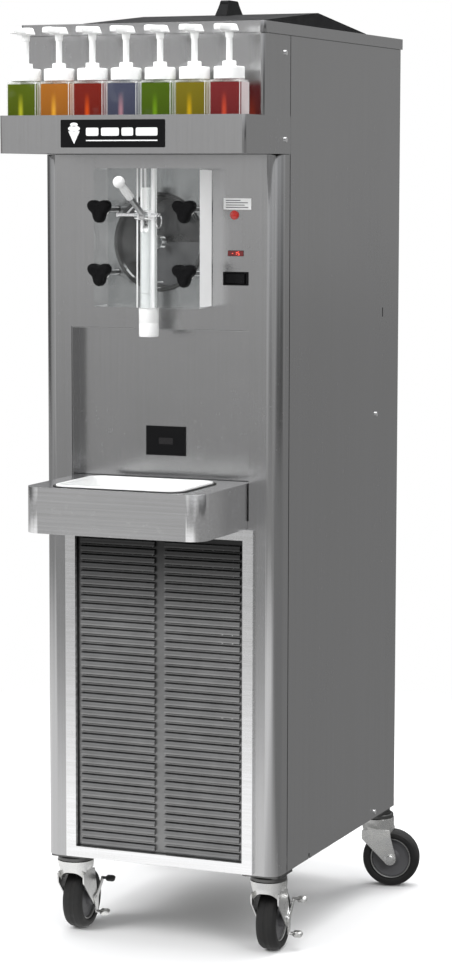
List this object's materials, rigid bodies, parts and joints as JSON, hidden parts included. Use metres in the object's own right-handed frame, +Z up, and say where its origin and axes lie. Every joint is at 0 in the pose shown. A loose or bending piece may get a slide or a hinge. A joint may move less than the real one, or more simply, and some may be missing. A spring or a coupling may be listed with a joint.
{
  "type": "soft serve machine",
  "caption": "Floor-standing stainless soft serve freezer on swivel casters, with a clear dispensing door, draw handle, drip shelf, louvred grille and a rail of pump bottles.",
  "frame": {"origin": "on the floor, under the middle of the footprint", "axes": "+Z up, -Y towards the customer side with the spigot, +X to the right when facing that side"},
  "size_m": [0.5912, 0.856, 1.7381],
  "materials": {
    "stainless": "horizontal brushed grain",
    "bright_stainless": "bright satin",
    "galvanised_frame": "dull galvanised",
    "black_plastic": "satin moulded",
    "white_plastic": "satin moulded",
    "clear_plastic": "polished clear",
    "lever_metal": "satin, with a white moulded grip",
    "motor_paint": "grey enamel",
    "compressor_paint": "black enamel",
    "coil_aluminium": "thin pressed fins",
    "seal_rubber": "smooth",
    "cord_rubber": "smooth jacket",
    "red_lens": "moulded lens",
    "display_window": "tinted window",
    "zinc_plate": "bright zinc plate",
    "caster_tyre": "moulded tread on a grey hub"
  },
  "bodies": {
    "root": {"left_side_panel": "stainless", "right_side_panel": "stainless", "rear_panel": "stainless", "front_panel": "stainless", "splash_panel": "stainless", "head_housing": "stainless", "syrup_rail": "stainless", "top_cap": "stainless", "drip_shelf": "stainless", "grille_frame": "bright_stainless", "louvre_panel": "bright_stainless", "hopper": "bright_stainless", "freezing_cylinder": "bright_stainless", "pivot_pin": "bright_stainless", "screws_and_bolts": "bright_stainless", "chassis_frame": "galvanised_frame", "name_plate": "black_plastic", "switch_bezel": "black_plastic", "cup_sensor": "black_plastic", "spigot_nozzle": "white_plastic", "instruction_plate": "white_plastic", "pump_caps": "white_plastic", "freezer_door": "clear_plastic", "syrup_bottles": "clear_plastic", "gear_motor": "motor_paint", "compressor": "compressor_paint", "condenser": "coil_aluminium", "door_seal": "seal_rubber", "power_cord": "cord_rubber", "indicator_light": "red_lens", "temperature_display": "display_window", "caster_plates": "zinc_plate"},
    "lid": {"hopper_cover": "black_plastic"},
    "auger": {"auger": "bright_stainless"},
    "fan": {"fan_blades": "black_plastic"},
    "valve": {"draw_valve": "white_plastic"},
    "handle": {"draw_handle": "lever_metal"},
    "rocker": {"rocker_switch": "black_plastic"},
    "tray": {"drip_tray": "white_plastic"},
    "knob_1": {"door_knob_1": "black_plastic"},
    "fork_1": {"caster_fork_1": "zinc_plate"},
    "wheel_1": {"caster_wheel_1": "caster_tyre"},
    "knob_2": {"door_knob_2": "black_plastic"},
    "fork_2": {"caster_fork_2": "zinc_plate"},
    "wheel_2": {"caster_wheel_2": "caster_tyre"},
    "knob_3": {"door_knob_3": "black_plastic"},
    "fork_3": {"caster_fork_3": "zinc_plate"},
    "wheel_3": {"caster_wheel_3": "caster_tyre"},
    "knob_4": {"door_knob_4": "black_plastic"},
    "fork_4": {"caster_fork_4": "zinc_plate"},
    "wheel_4": {"caster_wheel_4": "caster_tyre"},
    "pump_1": {"pump_plunger_1": "white_plastic"},
    "pump_2": {"pump_plunger_2": "white_plastic"},
    "pump_3": {"pump_plunger_3": "white_plastic"},
    "pump_4": {"pump_plunger_4": "white_plastic"},
    "pump_5": {"pump_plunger_5": "white_plastic"},
    "pump_6": {"pump_plunger_6": "white_plastic"},
    "pump_7": {"pump_plunger_7": "white_plastic"},
    "brake_1": {"brake_lever_1": "zinc_plate"},
    "brake_2": {"brake_lever_2": "zinc_plate"}
  },
  "joints": [
    {"name": "lid_lift", "type": "slide", "parent": "root", "child": "lid", "axis": [0, 0, 1], "range_m": [0, 0.2]},
    {"name": "auger_spin", "type": "hinge", "parent": "root", "child": "auger", "pos_m": [0, -0.022, 1.294], "axis": [0, 1, 0], "continuous": true},
    {"name": "fan_spin", "type": "hinge", "parent": "root", "child": "fan", "pos_m": [0, -0.102, 0.485], "axis": [0, 1, 0], "continuous": true},
    {"name": "handle_pull", "type": "hinge", "parent": "root", "child": "handle", "pos_m": [0, -0.292, 1.343], "axis": [1, 0, 0], "range_deg": [0, 60], "stiffness_Nm_per_rad": 0.8, "springref_deg": -40.11},
    {"name": "valve_lift", "type": "slide", "parent": "root", "child": "valve", "axis": [0, 0, 1], "range_m": [0, 0.0252]},
    {"name": "knob_1_turn", "type": "hinge", "parent": "root", "child": "knob_1", "pos_m": [-0.082, -0.287, 1.352], "axis": [0, 1, 0], "continuous": true},
    {"name": "knob_2_turn", "type": "hinge", "parent": "root", "child": "knob_2", "pos_m": [0.082, -0.287, 1.352], "axis": [0, 1, 0], "continuous": true},
    {"name": "knob_3_turn", "type": "hinge", "parent": "root", "child": "knob_3", "pos_m": [-0.082, -0.287, 1.24], "axis": [0, 1, 0], "continuous": true},
    {"name": "knob_4_turn", "type": "hinge", "parent": "root", "child": "knob_4", "pos_m": [0.082, -0.287, 1.24], "axis": [0, 1, 0], "continuous": true},
    {"name": "rocker_flip", "type": "hinge", "parent": "root", "child": "rocker", "pos_m": [0.1485, -0.218, 1.231], "axis": [0, 0, 1], "range_deg": [0, 14]},
    {"name": "tray_lift", "type": "slide", "parent": "root", "child": "tray", "axis": [0, 0, 1], "range_m": [0, 0.12]},
    {"name": "pump_1_press", "type": "slide", "parent": "root", "child": "pump_1", "axis": [0, 0, -1], "range_m": [0, 0.03], "stiffness_N_per_m": 60, "springref_m": -0.05},
    {"name": "pump_2_press", "type": "slide", "parent": "root", "child": "pump_2", "axis": [0, 0, -1], "range_m": [0, 0.03], "stiffness_N_per_m": 60, "springref_m": -0.05},
    {"name": "pump_3_press", "type": "slide", "parent": "root", "child": "pump_3", "axis": [0, 0, -1], "range_m": [0, 0.03], "stiffness_N_per_m": 60, "springref_m": -0.05},
    {"name": "pump_4_press", "type": "slide", "parent": "root", "child": "pump_4", "axis": [0, 0, -1], "range_m": [0, 0.03], "stiffness_N_per_m": 60, "springref_m": -0.05},
    {"name": "pump_5_press", "type": "slide", "parent": "root", "child": "pump_5", "axis": [0, 0, -1], "range_m": [0, 0.03], "stiffness_N_per_m": 60, "springref_m": -0.05},
    {"name": "pump_6_press", "type": "slide", "parent": "root", "child": "pump_6", "axis": [0, 0, -1], "range_m": [0, 0.03], "stiffness_N_per_m": 60, "springref_m": -0.05},
    {"name": "pump_7_press", "type": "slide", "parent": "root", "child": "pump_7", "axis": [0, 0, -1], "range_m": [0, 0.03], "stiffness_N_per_m": 60, "springref_m": -0.05},
    {"name": "fork_1_swivel", "type": "hinge", "parent": "root", "child": "fork_1", "pos_m": [-0.195, -0.172, 0.14], "axis": [0, 0, 1], "continuous": true},
    {"name": "wheel_1_roll", "type": "hinge", "parent": "fork_1", "child": "wheel_1", "pos_m": [-0.19709, -0.14207, 0.0565], "axis": [0.9976, 0.0698, 0], "continuous": true},
    {"name": "brake_1_press", "type": "hinge", "parent": "fork_1", "child": "brake_1", "pos_m": [-0.19709, -0.14207, 0.0565], "axis": [0.9976, 0.0698, 0], "range_deg": [-20, 0], "stiffness_Nm_per_rad": 0.4, "springref_deg": 22.92},
    {"name": "fork_2_swivel", "type": "hinge", "parent": "root", "child": "fork_2", "pos_m": [0.196, -0.172, 0.14], "axis": [0, 0, 1], "continuous": true},
    {"name": "wheel_2_roll", "type": "hinge", "parent": "fork_2", "child": "wheel_2", "pos_m": [0.19339, -0.14211, 0.0565], "axis": [0.9962, 0.0872, 0], "continuous": true},
    {"name": "brake_2_press", "type": "hinge", "parent": "fork_2", "child": "brake_2", "pos_m": [0.19339, -0.14211, 0.0565], "axis": [0.9962, 0.0872, 0], "range_deg": [-20, 0], "stiffness_Nm_per_rad": 0.4, "springref_deg": 22.92},
    {"name": "fork_3_swivel", "type": "hinge", "parent": "root", "child": "fork_3", "pos_m": [-0.208, 0.376, 0.14], "axis": [0, 0, 1], "continuous": true},
    {"name": "wheel_3_roll", "type": "hinge", "parent": "fork_3", "child": "wheel_3", "pos_m": [-0.23734, 0.38224, 0.0565], "axis": [0.2079, 0.9781, 0], "continuous": true},
    {"name": "fork_4_swivel", "type": "hinge", "parent": "root", "child": "fork_4", "pos_m": [0.208, 0.376, 0.14], "axis": [0, 0, 1], "continuous": true},
    {"name": "wheel_4_roll", "type": "hinge", "parent": "fork_4", "child": "wheel_4", "pos_m": [0.23734, 0.38224, 0.0565], "axis": [0.2079, -0.9781, 0], "continuous": true}
  ],
  "couplings": [
    {"joint": "valve_lift", "follows": "handle_pull", "m_per_rad": 0.023873}
  ]
}
